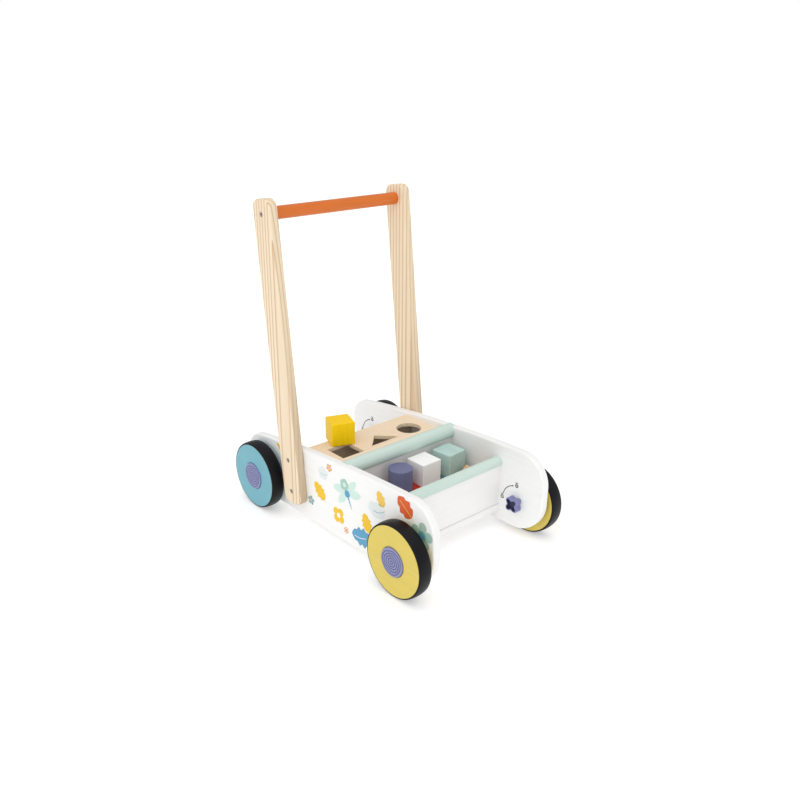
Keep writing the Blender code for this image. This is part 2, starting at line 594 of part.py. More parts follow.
def knob_mesh(name):
    """A four-lobed knob along X, its lobes on the diagonals; its flat back is at x = 0."""
    facets = 32
    edge = 0.0012

    def build(shape):
        rings = []
        for x, shrink in ((0, 0), (-KNOB_THICKNESS + edge, 0), (-KNOB_THICKNESS, edge)):
            ring = []
            for step in range(facets):
                angle = 2 * math.pi * (step + 0.5) / facets
                radius = KNOB_RADIUS - KNOB_LOBE * math.cos(4 * angle) - shrink
                ring.append(shape.verts.new((x, radius * math.cos(angle), radius * math.sin(angle))))
            rings.append(ring)
        for near, far in zip(rings, rings[1:]):
            for step in range(facets):
                after = (step + 1) % facets
                shape.faces.new((near[step], near[after], far[after], far[step]))
        shape.faces.new(rings[0])
        shape.faces.new(rings[-1])
        bmesh.ops.recalc_face_normals(shape, faces=shape.faces)
    return mesh_from(build, name)


def brake_knob(corner, side, axle):
    mirrored = (0, 0, 0) if side > 0 else (0, 0, math.pi)
    knob = add_object(corner + "_brake_knob", knob_mesh(corner + "_brake_knob"), (side * KNOB_OUTER_X, 0, 0),
                      mirrored, axle, "violet_paint")
    smooth(knob, 45)
    bore_end = side * (KNOB_OUTER_X - KNOB_BORE_DEPTH)
    cut(knob, rod_cutter(corner + "_knob_bore", AXLE_HOLE_RADIUS, bore_end, side * (KNOB_OUTER_X + 0.01),
                         0, 0, parent=axle))


def wheels():
    disc, band, cap, bolt, ring = wheel_profiles()
    for end, y, paint in (("front", -AXLE_Y, "mustard_paint"), ("rear", AXLE_Y, "teal_paint")):
        for name, side in (("right", -1), ("left", 1)):
            corner = f"{end}_{name}"
            axle = add_empty(corner + "_axle", (0, y, WHEEL_RADIUS))
            for piece, profile, facets, colour in (("wheel_disc", disc, WHEEL_FACETS, paint),
                                                   ("tyre", band, WHEEL_FACETS, "rubber"),
                                                   ("hub_cap", cap, WHEEL_FACETS, "violet_paint"),
                                                   ("axle_bolt", bolt, SMALL_FACETS, "steel"),
                                                   ("washer", ring, SMALL_FACETS, "nylon")):
                turned(f"{corner}_{piece}", profile, facets, (0, 0, 0), side, axle, colour)
            brake_knob(corner, side, axle)


# The blocks ---------------------------------------------------------------------------------------------

def block(name, xy, low_z, size, paint, turn=0.0):
    piece = add_object(name, box_mesh(name, size), (*xy, low_z + size[2] / 2), (0, 0, turn), paint=paint)
    round_edges(piece, BLOCK_ROUND, 1)
    return piece


def cylinder_block(name, xy, low_z, paint):
    def build(shape):
        bmesh.ops.create_cone(shape, cap_ends=True, segments=28, radius1=BLOCK / 2, radius2=BLOCK / 2,
                              depth=BLOCK)
    piece = add_object(name, mesh_from(build, name), (*xy, low_z + BLOCK / 2), paint=paint)
    smooth(piece)
    round_edges(piece, BLOCK_ROUND, 1)


def roof_block(name, xy, low_z, paint):
    """A roof-shaped prism, its ridge running front to back."""
    def build(shape):
        half = BLOCK / 2
        gable = [shape.verts.new((x, -half, z)) for x, z in ((-half, 0), (half, 0), (0, ROOF_HEIGHT))]
        face = shape.faces.new(gable)
        raised = bmesh.ops.extrude_face_region(shape, geom=[face])["geom"]
        corners = [g for g in raised if isinstance(g, bmesh.types.BMVert)]
        bmesh.ops.translate(shape, vec=(0, BLOCK, 0), verts=corners)
        bmesh.ops.recalc_face_normals(shape, faces=shape.faces)
    piece = add_object(name, mesh_from(build, name), (*xy, low_z), paint=paint)
    round_edges(piece, BLOCK_ROUND / 2, 1)


def blocks():
    cube = (BLOCK, BLOCK, BLOCK)
    mint_xy = (MINT_CUBE_X, BACK_ROW_Y - MINT_CUBE_FORWARD)
    natural_xy = (PANEL_INNER_X - NATURAL_BLOCK_INSET, FRONT_ROW_Y)
    block("red_block", (WHITE_CUBE_X - RED_BLOCK_SHIFT, BACK_ROW_Y), LOWER_BLOCK_Z,
          (LONG_BLOCK, BLOCK, BLOCK), "red_paint")
    block("teal_cube", mint_xy, LOWER_BLOCK_Z, cube, "teal_paint")
    block("natural_cube", natural_xy, LOWER_BLOCK_Z, cube, "natural_wood")
    cylinder_block("violet_cylinder", (VIOLET_CYLINDER_X, BACK_ROW_Y), UPPER_BLOCK_Z, "violet_paint")
    block("white_cube", (WHITE_CUBE_X, BACK_ROW_Y), UPPER_BLOCK_Z, cube, "white_paint")
    block("mint_cube", mint_xy, UPPER_BLOCK_Z, cube, "mint_paint", MINT_CUBE_TURN)
    roof_block("natural_roof", natural_xy, UPPER_BLOCK_Z, "natural_wood")
    block("yellow_cube", (YELLOW_CUBE_X, SORTER_REAR_Y - YELLOW_CUBE_INSET), SORTER_TOP_Z + GAP, cube,
          "yellow_paint", YELLOW_CUBE_TURN)


def main():
    clear_scene()
    tilt = add_empty("handle_tilt", (0, HANDLE_Y, HANDLE_Z), (-POST_LEAN, 0, 0))
    side_panels(tilt)
    boards()
    rail("front_rail", FRONT_RAIL_Y, FRONT_RAIL_Z, FRONT_RAIL_RADIUS)
    rail("mid_rail", MID_RAIL_Y, MID_RAIL_Z, MID_RAIL_RADIUS)
    sorter_board()
    handle_frame(tilt)
    fasteners(tilt)
    wheels()
    blocks()
    bpy.context.view_layer.update()


main()
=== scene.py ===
"""Wooden baby walker: finished meshes, materials, printed motifs, studio floor, light and camera.

Metres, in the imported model's frame: +Z up, the front looks along -Y, the walker's left side is +X.
"""

import json
import math

import bmesh
import bpy
from mathutils import Matrix, Vector


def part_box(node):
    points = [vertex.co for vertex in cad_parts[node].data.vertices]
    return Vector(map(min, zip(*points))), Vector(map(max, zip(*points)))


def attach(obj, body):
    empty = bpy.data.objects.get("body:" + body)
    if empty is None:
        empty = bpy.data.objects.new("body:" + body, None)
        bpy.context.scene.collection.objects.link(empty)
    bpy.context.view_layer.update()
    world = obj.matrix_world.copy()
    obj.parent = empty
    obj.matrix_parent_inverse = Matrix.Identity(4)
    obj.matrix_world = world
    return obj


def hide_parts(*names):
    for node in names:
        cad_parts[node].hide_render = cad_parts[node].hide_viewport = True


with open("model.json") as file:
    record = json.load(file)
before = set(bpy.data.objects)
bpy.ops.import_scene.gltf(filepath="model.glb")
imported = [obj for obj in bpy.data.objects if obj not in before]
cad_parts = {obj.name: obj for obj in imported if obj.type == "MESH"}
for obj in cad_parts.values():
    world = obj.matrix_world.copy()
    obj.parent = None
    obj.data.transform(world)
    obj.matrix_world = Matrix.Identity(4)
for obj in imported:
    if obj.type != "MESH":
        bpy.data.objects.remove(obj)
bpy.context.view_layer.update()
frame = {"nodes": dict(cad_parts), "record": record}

MM = 0.001
SIDES = (("right", -1), ("left", 1))
ENDS = ("front", "rear")

# Shapes that the boxes of the pieces don't tell
PANEL_TOP = 0.150
PANEL_TOP_CROWN = 0.0062
FRONT_TOP_RADIUS = 0.049
FRONT_LOW_RADIUS = 0.059
REAR_TOP_RADIUS = 0.036
REAR_TOP_TURN = 81.5            # degrees of the rear top corner's arc
REAR_LOW_RADIUS = 0.061
PANEL_EDGE_ROUND = 0.0028
REAR_TOP_DROP = 0.0304          # how much lower the panel's top is at its rear end
POST_LEAN = math.radians(6.34)
POST_WIDTH = 0.0457
POST_ABOVE_HANDLE = 0.023
POST_BELOW_HANDLE = 0.4706
POST_CORNER_RADIUS = 0.014
POST_EDGE_ROUND = 0.0030
ROUND_HOLE = 0.0215
TRIANGLE_BASE = 0.0604
TRIANGLE_HEIGHT = 0.0295
HOLE_PLAY = 0.0005
HEAD_RADIUS = 0.0035            # of the bolts and handle screws
HEAD_HEIGHT = 0.004
HEAD_PLAY = 0.0006
HEAD_HOLE_DEPTH = 0.0048
SHANK_RADIUS = 0.002
NUT_BARREL_RADIUS = 0.0036
NUT_FLANGE_RADIUS = 0.0065
NUT_PROUD = 0.0009
TREAD_DROP = 0.0013             # how much lower the tread is at its edges
TREAD_SHARE = 0.76              # the crowned part of the tread's width
AXLE_HOLE = 0.0044
HUB_GAP = 0.0009
HUB_RINGS = 5
HUB_RING_FIRST = 2.6 * MM
HUB_RING_STEP = 4.1 * MM
HUB_RING_WIDTH = 0.0015
KNOB_RADIUS = 0.0114            # half way between the lobes' tips and the hollows between them
KNOB_LOBE = 0.0024
KNOB_RECESS_DEPTH = 0.0048
SIGN_RADIUS = 29                # of the printed arc, in millimetres
YELLOW_CUBE_TURN = math.radians(-20.8)
MINT_CUBE_TURN = math.radians(3.5)

SKY_BRIGHTEST = (-0.62, -0.38, 0.68)
SKY_STRENGTH = (0.42, 0.95)
CAMERA_PLACE = (-0.8450, -0.9539, 0.7196)
CAMERA_AHEAD = (0.62323, 0.68894, -0.37006)
CAMERA_ROLL = math.radians(0.596)
CAMERA_LENS = 38.235


def linear(*srgb):
    """sRGB 0 to 255 as a linear RGBA colour."""
    def one(c):
        c /= 255
        return c / 12.92 if c <= 0.04045 else ((c + 0.055) / 1.055) ** 2.4
    return (*[one(c) for c in srgb], 1)


# Materials ----------------------------------------------------------------------------------------

class Nodes:
    """A material's node tree with short calls."""

    def __init__(self, name, roughness, metallic=0.0, specular=0.4):
        self.mat = bpy.data.materials.new(name)
        self.mat.use_nodes = True
        self.tree = self.mat.node_tree
        self.shader = self.tree.nodes["Principled BSDF"]
        self.shader.inputs["Roughness"].default_value = roughness
        self.shader.inputs["Metallic"].default_value = metallic
        self.shader.inputs["Specular IOR Level"].default_value = specular
        self.place = self.add("ShaderNodeTexCoord").outputs["Object"]

    def add(self, kind, **settings):
        node = self.tree.nodes.new(kind)
        for key, value in settings.items():
            if key in node.inputs:
                node.inputs[key].default_value = value
            else:
                setattr(node, key, value)
        return node

    def link(self, out, into):
        self.tree.links.new(out, into)

    def mapped(self, scale=(1, 1, 1), turn=(0, 0, 0), shift=(0, 0, 0)):
        node = self.add("ShaderNodeMapping")
        node.inputs["Scale"].default_value = scale
        node.inputs["Rotation"].default_value = turn
        node.inputs["Location"].default_value = shift
        self.link(self.place, node.inputs["Vector"])
        return node.outputs["Vector"]

    def noise(self, vector, scale, detail=3, roughness=0.55):
        node = self.add("ShaderNodeTexNoise", Scale=scale, Detail=detail, Roughness=roughness)
        self.link(vector, node.inputs["Vector"])
        return node.outputs["Fac"]

    def ramp(self, value, stops):
        """stops: (position, colour), colours already linear."""
        node = self.add("ShaderNodeValToRGB")
        band = node.color_ramp.elements
        while len(band) < len(stops):
            band.new(0.5)
        for element, (position, colour) in zip(band, stops):
            element.position = position
            element.color = colour
        self.link(value, node.inputs["Fac"])
        return node.outputs["Color"]

    def span(self, value, low, high, start=0.0, end=1.0):
        node = self.add("ShaderNodeMapRange")
        for key, number in (("From Min", start), ("From Max", end),
                            ("To Min", low), ("To Max", high)):
            node.inputs[key].default_value = number
        self.link(value, node.inputs["Value"])
        return node.outputs["Result"]

    def mix(self, share, a, b, blend="MIX"):
        node = self.add("ShaderNodeMix", data_type="RGBA", blend_type=blend)
        for socket, value in ((node.inputs[0], share), (node.inputs[6], a), (node.inputs[7], b)):
            if isinstance(value, bpy.types.NodeSocket):
                self.link(value, socket)
            else:
                socket.default_value = value
        return node.outputs[2]

    def bump(self, height, strength, distance):
        node = self.add("ShaderNodeBump", Strength=strength, Distance=distance)
        self.link(height, node.inputs["Height"])
        self.link(node.outputs["Normal"], self.shader.inputs["Normal"])

    def paint(self, colour, rough=None):
        self.link(colour, self.shader.inputs["Base Color"])
        if rough is not None:
            self.link(rough, self.shader.inputs["Roughness"])
        return self.mat


GRAIN = {"x": (0.06, 1, 1), "y": (1, 0.06, 1), "z": (1, 1, 0.06)}


def shade(colour, factor):
    return (*[c * factor for c in colour[:3]], 1)


def painted_wood(name, srgb, axis="x", grain=0.10, rough=0.42, fine=240, specular=0.35):
    """Satin paint with the wood's grain showing a little; grain is how much darker it draws."""
    n = Nodes(name, rough, specular=specular)
    colour = linear(*srgb)
    along = n.mapped(scale=GRAIN[axis])
    fibres = n.noise(along, fine, 5, 0.62)
    clouds = n.noise(n.place, 22, 2)
    streaks = n.ramp(fibres, ((0.30, shade(colour, 1 - grain)), (0.52, colour),
                              (0.80, shade(colour, 1.03))))
    wear = n.span(clouds, 0.0, 0.35 * grain + 0.02, 0.35, 0.75)
    worn = n.mix(wear, streaks, shade(colour, 0.80))
    n.bump(fibres, 0.12, 0.0002)
    return n.paint(worn, n.span(clouds, rough - 0.05, rough + 0.08, 0.3, 0.7))


def bare_wood(name, light, dark, late, axis="z", turn=(0, 0, 0), shift=(0, 0, 0), ring=0.006,
              wobble=2.2, rough=0.55, pores=0.5, share=(0.62, 0.93, 1.0), foot=None):
    """Bare wood: growth rings about the grain's axis, and fine pores.

    light, dark, late: the early wood, its darker patches, and the thin dark lines of late wood.
    share: where in each ring the late wood begins and is darkest, and where the ring ends.
    foot: the two heights between which a painted shade fades out: the wood is drawn a little darker
    low down, where shade falls near the foot, and turns to its own colour above.
    """
    n = Nodes(name, rough, specular=0.25)
    stretch = {"x": (0.045, 1, 1), "y": (1, 0.045, 1), "z": (1, 1, 0.045)}[axis]
    where = n.mapped(scale=stretch, turn=turn, shift=shift)
    rings = n.add("ShaderNodeTexWave", wave_type="RINGS", rings_direction=axis.upper(),
                  wave_profile="SAW")
    for key, number in (("Scale", 2 * math.pi / (20 * ring)), ("Distortion", wobble),
                        ("Detail", 2.5), ("Detail Scale", 0.35), ("Detail Roughness", 0.5)):
        rings.inputs[key].default_value = number
    n.link(where, rings.inputs["Vector"])
    fibres = n.noise(n.mapped(scale=GRAIN[axis], turn=turn), 520, 4, 0.6)
    tone = n.noise(n.mapped(scale=GRAIN[axis], turn=turn), 38, 3)
    a, b, c = (linear(*s) for s in (light, dark, late))
    lines = n.ramp(rings.outputs["Fac"], ((0.0, a), (share[0], a), (share[1], c), (share[2], b)))
    body = n.mix(n.span(tone, 0.0, 0.55, 0.35, 0.75), lines, b)
    colour = n.mix(n.span(fibres, 0.0, 0.5 * pores, 0.45, 0.8), body, shade(b, 0.86))
    # Painted shade: below the foot's heights the wood is drawn darker, standing in for the shade that
    # falls low on the post
    if foot:
        height = n.add("ShaderNodeSeparateXYZ")
        n.link(n.place, height.inputs[0])
        colour = n.mix(n.span(height.outputs["Z"], 1.0, 0.0, *foot), colour, shade(b, 0.72))
    n.bump(fibres, 0.15, 0.00025)
    return n.paint(colour, n.span(tone, rough - 0.05, rough + 0.1, 0.3, 0.7))


def plain(name, srgb, rough, metallic=0.0, specular=0.4, mottle=0.08, fine=900):
    """Rubber, plastic, metal or ink: an even colour, slightly mottled, with a fine surface."""
    n = Nodes(name, rough, metallic, specular)
    colour = linear(*srgb)
    spots = n.noise(n.place, fine, 3)
    clouds = n.noise(n.place, 45, 2)
    even = n.mix(n.span(clouds, 0.0, 1.0, 0.3, 0.7), shade(colour, 1 - mottle), colour)
    n.bump(spots, 0.2, 0.00005)
    return n.paint(even, n.span(clouds, rough - 0.05, rough + 0.07, 0.3, 0.7))


WHITE = (243, 243, 242)
MATERIALS = {
    "white_panel": painted_wood("white_panel", WHITE, "y", 0.022, 0.38, 170),
    "white_board": painted_wood("white_board", (243, 242, 240), "x", 0.022, 0.40, 170),
    "white_cube": painted_wood("white_cube", (250, 249, 248), "z", 0.02, 0.38),
    "mint_rail": painted_wood("mint_rail", (203, 222, 213), "x", 0.05, 0.42, 220),
    "mint_cube": painted_wood("mint_cube", (184, 212, 205), "y", 0.16, 0.42, 300),
    "orange_paint": painted_wood("orange_paint", (216, 112, 38), "x", 0.14, 0.40, 260),
    "mustard_paint": painted_wood("mustard_paint", (218, 196, 92), "y", 0.05, 0.42, 200),
    "teal_paint": painted_wood("teal_paint", (112, 173, 187), "y", 0.06, 0.42, 200),
    "violet_hub": painted_wood("violet_hub", (138, 141, 183), "y", 0.05, 0.45, 240),
    "violet_block": painted_wood("violet_block", (112, 114, 150), "z", 0.16, 0.45, 300),
    "yellow_paint": painted_wood("yellow_paint", (250, 208, 8), "z", 0.05, 0.46, 260, 0.2),
    "red_paint": painted_wood("red_paint", (208, 56, 36), "x", 0.08, 0.42, 260),
    "hub_ring": plain("hub_ring", (88, 90, 132), 0.6, mottle=0.15),
    "knob_plastic": plain("knob_plastic", (126, 128, 176), 0.32, specular=0.5, mottle=0.05),
    # Painted shade: the dark violet inside the brake knobs' recesses stands in for the shade in the
    # hollow
    "knob_recess_painted_shade": plain("knob_recess_painted_shade", (58, 56, 88), 0.45, specular=0.3, mottle=0.1),
    "rubber": plain("rubber", (18, 18, 22), 0.40, specular=0.16, mottle=0.25, fine=1400),
    "steel": plain("steel", (178, 174, 168), 0.30, metallic=1.0, mottle=0.2),
    "nylon": plain("nylon", (225, 225, 220), 0.5, mottle=0.05),
    "ink_dark": plain("ink_dark", (52, 52, 60), 0.55, mottle=0.1),
    "ink_yellow": plain("ink_yellow", (243, 196, 28), 0.5, mottle=0.06),
    "ink_gold": plain("ink_gold", (240, 200, 84), 0.5, mottle=0.06),
    "ink_orange": plain("ink_orange", (222, 92, 36), 0.5, mottle=0.06),
    "ink_amber": plain("ink_amber", (226, 158, 84), 0.5, mottle=0.06),
    "ink_blue": plain("ink_blue", (88, 160, 198), 0.5, mottle=0.06),
    "ink_mint": plain("ink_mint", (166, 203, 192), 0.5, mottle=0.06),
    "ink_pale": plain("ink_pale", (208, 232, 224), 0.5, mottle=0.05),
    "ink_cloud": plain("ink_cloud", (226, 232, 232), 0.5, mottle=0.03),
    "ink_sage": plain("ink_sage", (122, 168, 168), 0.5, mottle=0.06),
    "ink_white": plain("ink_white", WHITE, 0.45, mottle=0.02),
    "sorter_wood": bare_wood("sorter_wood", (241, 222, 196), (233, 210, 180), (226, 198, 163),
                             "x", shift=(0, 0, -0.16), ring=0.004, wobble=1.6, rough=0.5,
                             pores=0.3),
    "inside_wood": bare_wood("inside_wood", (214, 198, 178), (204, 187, 166), (194, 175, 152),
                             "x", shift=(0, 0, -0.2), ring=0.005, wobble=1.5, pores=0.3),
    "natural_wood": bare_wood("natural_wood", (226, 190, 150), (208, 166, 124), (188, 142, 98),
                              "x", shift=(0, 0.05, -0.03), ring=0.005, wobble=1.5),
}
# Each post has its own stretch of grain, and its narrow faces carry a painted shade that turns them
# darker towards the foot
for side, sign in SIDES:
    centre = (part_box(side + "_post")[0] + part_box(side + "_post")[1]) / 2
    pith = (-centre.x - sign * 0.028, -0.096 if sign < 0 else -0.080, 0)
    for kind, tones, foot in (
            ("pine", ((244, 228, 202), (228, 204, 172), (196, 154, 112)), None),
            ("pine_edge", ((240, 221, 192), (226, 203, 172), (202, 172, 138)), (0.03, 0.30))):
        MATERIALS[f"{side}_{kind}"] = bare_wood(
            f"{side}_{kind}", *tones, "z", turn=(POST_LEAN, 0, 0), shift=pith, ring=0.0062,
            wobble=1.3, rough=0.5, share=(0.55, 0.94, 1.0), foot=foot)


# Mesh helpers -------------------------------------------------------------------------------------

def object_from(name, verts, faces):
    mesh = bpy.data.meshes.new(name)
    mesh.from_pydata(verts, [], faces)
    shape = bmesh.new()
    shape.from_mesh(mesh)
    bmesh.ops.remove_doubles(shape, verts=shape.verts, dist=1e-7)
    bmesh.ops.recalc_face_normals(shape, faces=shape.faces)
    shape.to_mesh(mesh)
    shape.free()
    obj = bpy.data.objects.new(name, mesh)
    bpy.context.scene.collection.objects.link(obj)
    return obj


def ringed(name, rings, closed=False):
    """Rings of as many points, joined one after the other; closed joins the last to the first."""
    count = len(rings[0])
    verts = [p for ring in rings for p in ring]
    pairs = list(zip(range(len(rings) - 1), range(1, len(rings))))
    if closed:
        pairs.append((len(rings) - 1, 0))
    faces = []
    for a, b in pairs:
        for i in range(count):
            after = (i + 1) % count
            faces.append((a * count + i, a * count + after, b * count + after, b * count + i))
    if not closed:
        last = (len(rings) - 1) * count
        faces += [tuple(range(count)), tuple(range(last, last + count))]
    return object_from(name, verts, faces)


def turned(name, profile, y, z, segments=96, closed=False):
    """A turned piece about an axis along X: profile points are (x, radius)."""
    angles = [2 * math.pi * (i + 0.5) / segments for i in range(segments)]
    rings = [[(x, y + r * math.cos(a), z + r * math.sin(a)) for a in angles] for x, r in profile]
    return ringed(name, rings, closed)


def rounded(profile, radii, steps=5):
    """A profile of (x, radius) points with rounded corners: one radius a corner, 0 for none."""
    out = []
    for i, (point, radius) in enumerate(zip(profile, radii)):
        p = Vector(point)
        if radius == 0:
            out.append(tuple(p))
            continue
        before = Vector(profile[i - 1]) - p
        after = Vector(profile[(i + 1) % len(profile)]) - p
        start = p + before.normalized() * radius
        end = p + after.normalized() * radius
        for k in range(steps + 1):
            t = k / steps
            out.append(tuple((1 - t) ** 2 * start + 2 * t * (1 - t) * p + t * t * end))
    return out


def rounded_box(name, low, high, radius, turn=0.0, steps=4):
    low, high = Vector(low), Vector(high)
    shape = bmesh.new()
    bmesh.ops.create_cube(shape, size=1)
    bmesh.ops.scale(shape, vec=high - low, verts=shape.verts)
    bmesh.ops.bevel(shape, geom=shape.edges[:], offset=radius, segments=steps, profile=0.5,
                    affect="EDGES", clamp_overlap=True)
    bmesh.ops.rotate(shape, matrix=Matrix.Rotation(turn, 3, "Z"), verts=shape.verts)
    bmesh.ops.translate(shape, vec=(low + high) / 2, verts=shape.verts)
    mesh = bpy.data.meshes.new(name)
    shape.to_mesh(mesh)
    shape.free()
    obj = bpy.data.objects.new(name, mesh)
    bpy.context.scene.collection.objects.link(obj)
    return obj


def slab(name, outline, x_low, x_high, rounding, steps=5):
    """A board across X: outline(inset) gives its points (y, z), and its edges are rounded."""
    quarter = [math.pi / 2 * k / steps for k in range(steps + 1)]
    edge = [(rounding * (1 - math.sin(t)), rounding * (1 - math.cos(t))) for t in quarter]
    layers = [(x_low + depth, inset) for depth, inset in reversed(edge)]
    layers += [(x_high - depth, inset) for depth, inset in edge]
    return ringed(name, [[(x, y, z) for y, z in outline(inset)] for x, inset in layers])


def arc(centre, radius, start, end, steps):
    """Points (y, z) on an arc, degrees from +Y towards +Z."""
    return [(centre[0] + radius * math.cos(math.radians(start + (end - start) * k / steps)),
             centre[1] + radius * math.sin(math.radians(start + (end - start) * k / steps)))
            for k in range(steps + 1)]


def carve(obj, cutters):
    """Cuts closed shapes out of obj, for good."""
    for cutter in cutters:
        modifier = obj.modifiers.new("cut", "BOOLEAN")
        modifier.operation = "DIFFERENCE"
        modifier.solver = "EXACT"
        modifier.object = cutter
    bpy.context.view_layer.update()
    whole = obj.evaluated_get(bpy.context.evaluated_depsgraph_get())
    mesh = bpy.data.meshes.new_from_object(whole)
    obj.modifiers.clear()
    old, obj.data = obj.data, mesh
    bpy.data.meshes.remove(old)
    for cutter in cutters:
        bpy.data.objects.remove(cutter, do_unlink=True)
    return obj


def smooth(obj, angle=35):
    obj.data.shade_smooth()
    obj.data.set_sharp_from_angle(angle=math.radians(angle))
    modifier = obj.modifiers.new("even shading", "WEIGHTED_NORMAL")
    modifier.keep_sharp = True
    modifier.weight = 60


def piece(obj, paint, body, nodes=(), angle=35):
    """Finishes a piece: its material, shading, body and the CAD nodes it stands for."""
    obj.data.materials.clear()
    obj.data.materials.append(MATERIALS[paint])
    smooth(obj, angle)
    if nodes:
        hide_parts(*nodes)
    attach(obj, body)
    return obj


def middle(node):
    low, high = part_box(node)
    return (low + high) / 2


# Body ---------------------------------------------------------------------------------------------

def panel_outline(low, high):
    """The panel's outline from its box's lowest and highest (y, z), as a function of the inset."""
    front, bottom = low
    rear, top = high
    rear_top = top - REAR_TOP_DROP

    def outline(inset):
        points = arc((rear - REAR_LOW_RADIUS, bottom + REAR_LOW_RADIUS),
                     REAR_LOW_RADIUS - inset, -90, 0, 24)
        points += arc((rear - REAR_TOP_RADIUS, rear_top - REAR_TOP_RADIUS),
                      REAR_TOP_RADIUS - inset, 0, REAR_TOP_TURN, 24)
        start = Vector(points[-1])
        end = Vector((front + FRONT_TOP_RADIUS, top - inset))
        for step in range(1, 30):
            y, z = start.lerp(end, step / 30)
            points.append((y, z + PANEL_TOP_CROWN * 4 * step / 30 * (1 - step / 30)))
        points += arc((front + FRONT_TOP_RADIUS, top - FRONT_TOP_RADIUS),
                      FRONT_TOP_RADIUS - inset, 90, 180, 24)
        points += arc((front + FRONT_LOW_RADIUS, bottom + FRONT_LOW_RADIUS),
                      FRONT_LOW_RADIUS - inset, 180, 270, 24)
        return points
    return outline


def split_across(obj, y):
    """Cuts the mesh in two along the plane at y, without opening it."""
    shape = bmesh.new()
    shape.from_mesh(obj.data)
    bmesh.ops.bisect_plane(shape, geom=shape.verts[:] + shape.edges[:] + shape.faces[:],
                           plane_co=(0, y, 0), plane_no=(0, 1, 0))
    shape.to_mesh(obj.data)
    shape.free()


def make_body():
    for side, _ in SIDES:
        low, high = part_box(side + "_side_panel")
        outline = panel_outline((low.y, low.z), (high.y, PANEL_TOP))
        piece(slab(side + "_panel_body", outline, low.x, high.x, PANEL_EDGE_ROUND, 6),
              "white_panel", "root", [side + "_side_panel"])
    # The boards' edge rounding, and the side on which each is bare wood behind the front wall
    inside_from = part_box("front_wall")[1].y
    for node, rounding, bare in (("front_wall", 0.0008, (0, 0, 0)),
                                 ("divider_wall", 0.0008, (0, 0, 0)),
                                 ("rear_wall", 0.0008, (0, -1, 0)),
                                 ("floor_board", 0.0028, (0, 0, 1))):
        board = rounded_box(node + "_board", *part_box(node), rounding)
        if node == "floor_board":
            split_across(board, inside_from)
        piece(board, "white_board", "root", [node])
        board.data.materials.append(MATERIALS["inside_wood"])
        for face in board.data.polygons:
            inside = face.normal.dot(Vector(bare)) > 0.9 and face.center.y > inside_from
            face.material_index = int(inside)
    for node in ("front_rail", "mid_rail"):
        low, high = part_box(node)
        radius = (high.y - low.y) / 2
        profile = [(low.x, radius), (high.x, radius)]
        piece(turned(node + "_dowel", profile, middle(node).y, high.z - radius), "mint_rail",
              "root", [node])


def prism_cutter(name, corners, low, high):
    """An upright prism on corners (x, y)."""
    count = len(corners)
    verts = [(x, y, z) for z in (low, high) for x, y in corners]
    faces = [tuple(range(count)), tuple(range(count, 2 * count))]
    faces += [(i, (i + 1) % count, count + (i + 1) % count, count + i) for i in range(count)]
    return object_from(name, verts, faces)


def make_sorter():
    low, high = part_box("sorter_board")
    holes = {}
    for opening in frame["record"]["physics"]["openings"]:
        a, b = (Vector(corner) for corner in opening["box_m"])
        holes[opening["name"]] = (a + b) / 2, (b - a) / 2
    board = rounded_box("sorter_plate", low, high, 0.0009)
    (x, y, _), reach = holes["square_sorting_hole"]
    half = reach.x + HOLE_PLAY
    square = [(x + i * half, y + j * half) for i, j in ((-1, -1), (1, -1), (1, 1), (-1, 1))]
    tip, base = y + TRIANGLE_HEIGHT / 2, y - TRIANGLE_HEIGHT / 2
    (x, _, _), _ = holes["triangle_sorting_hole"]
    triangle = [(x - TRIANGLE_BASE / 2, base), (x + TRIANGLE_BASE / 2, base), (x, tip)]
    (x, y, _), _ = holes["round_sorting_hole"]
    turns = [2 * math.pi * k / 64 for k in range(64)]
    disc = [(x + ROUND_HOLE * math.cos(a), y + ROUND_HOLE * math.sin(a)) for a in turns]
    carve(board, [prism_cutter("cutter", shape, low.z - 0.01, high.z + 0.01)
                  for shape in (square, disc, triangle)])
    piece(board, "sorter_wood", "root", ["sorter_board"])


# Handle -------------------------------------------------------------------------------------------

def post_point(u, v, handle):
    """A point (y, z) at u across and v up along the leaning post, from the handle's axis."""
    return (handle.y + u * math.cos(POST_LEAN) + v * math.sin(POST_LEAN),
            handle.z - u * math.sin(POST_LEAN) + v * math.cos(POST_LEAN))


def post_outline(handle):
    half = POST_WIDTH / 2 - POST_CORNER_RADIUS
    top = POST_ABOVE_HANDLE - POST_CORNER_RADIUS
    foot = POST_CORNER_RADIUS - POST_BELOW_HANDLE

    def outline(inset):
        points = []
        for u, v, start in ((half, top, 0), (-half, top, 90),
                            (-half, foot, 180), (half, foot, 270)):
            points += [post_point(a, b, handle)
                       for a, b in arc((u, v), POST_CORNER_RADIUS - inset, start, start + 90, 18)]
        return points
    return outline


def hexagon(count, flats, y, z, x):
    """count points round a hexagon, flats across, in step with a circle of count points."""
    ring = []
    for k in range(count):
        angle = 2 * math.pi * (k + 0.5) / count
        reach = flats / 2 / math.cos((angle + math.pi / 6) % (math.pi / 3) - math.pi / 6)
        ring.append((x, y + reach * math.cos(angle), z + reach * math.sin(angle)))
    return ring


def socket_head(name, profile, flats, depth, y, z, outward):
    """A turned piece whose last flat face, at the profile's end, has a hexagonal socket."""
    count = 48
    angles = [2 * math.pi * (k + 0.5) / count for k in range(count)]
    rings = [[(x, y + r * math.cos(a), z + r * math.sin(a)) for a in angles] for x, r in profile]
    face = profile[-1][0]
    rings.append(hexagon(count, flats, y, z, face))
    rings.append(hexagon(count, flats, y, z, face - outward * depth))
    rings.append([(face - outward * (depth + flats * 0.15), y, z)] * count)
    return ringed(name, rings)


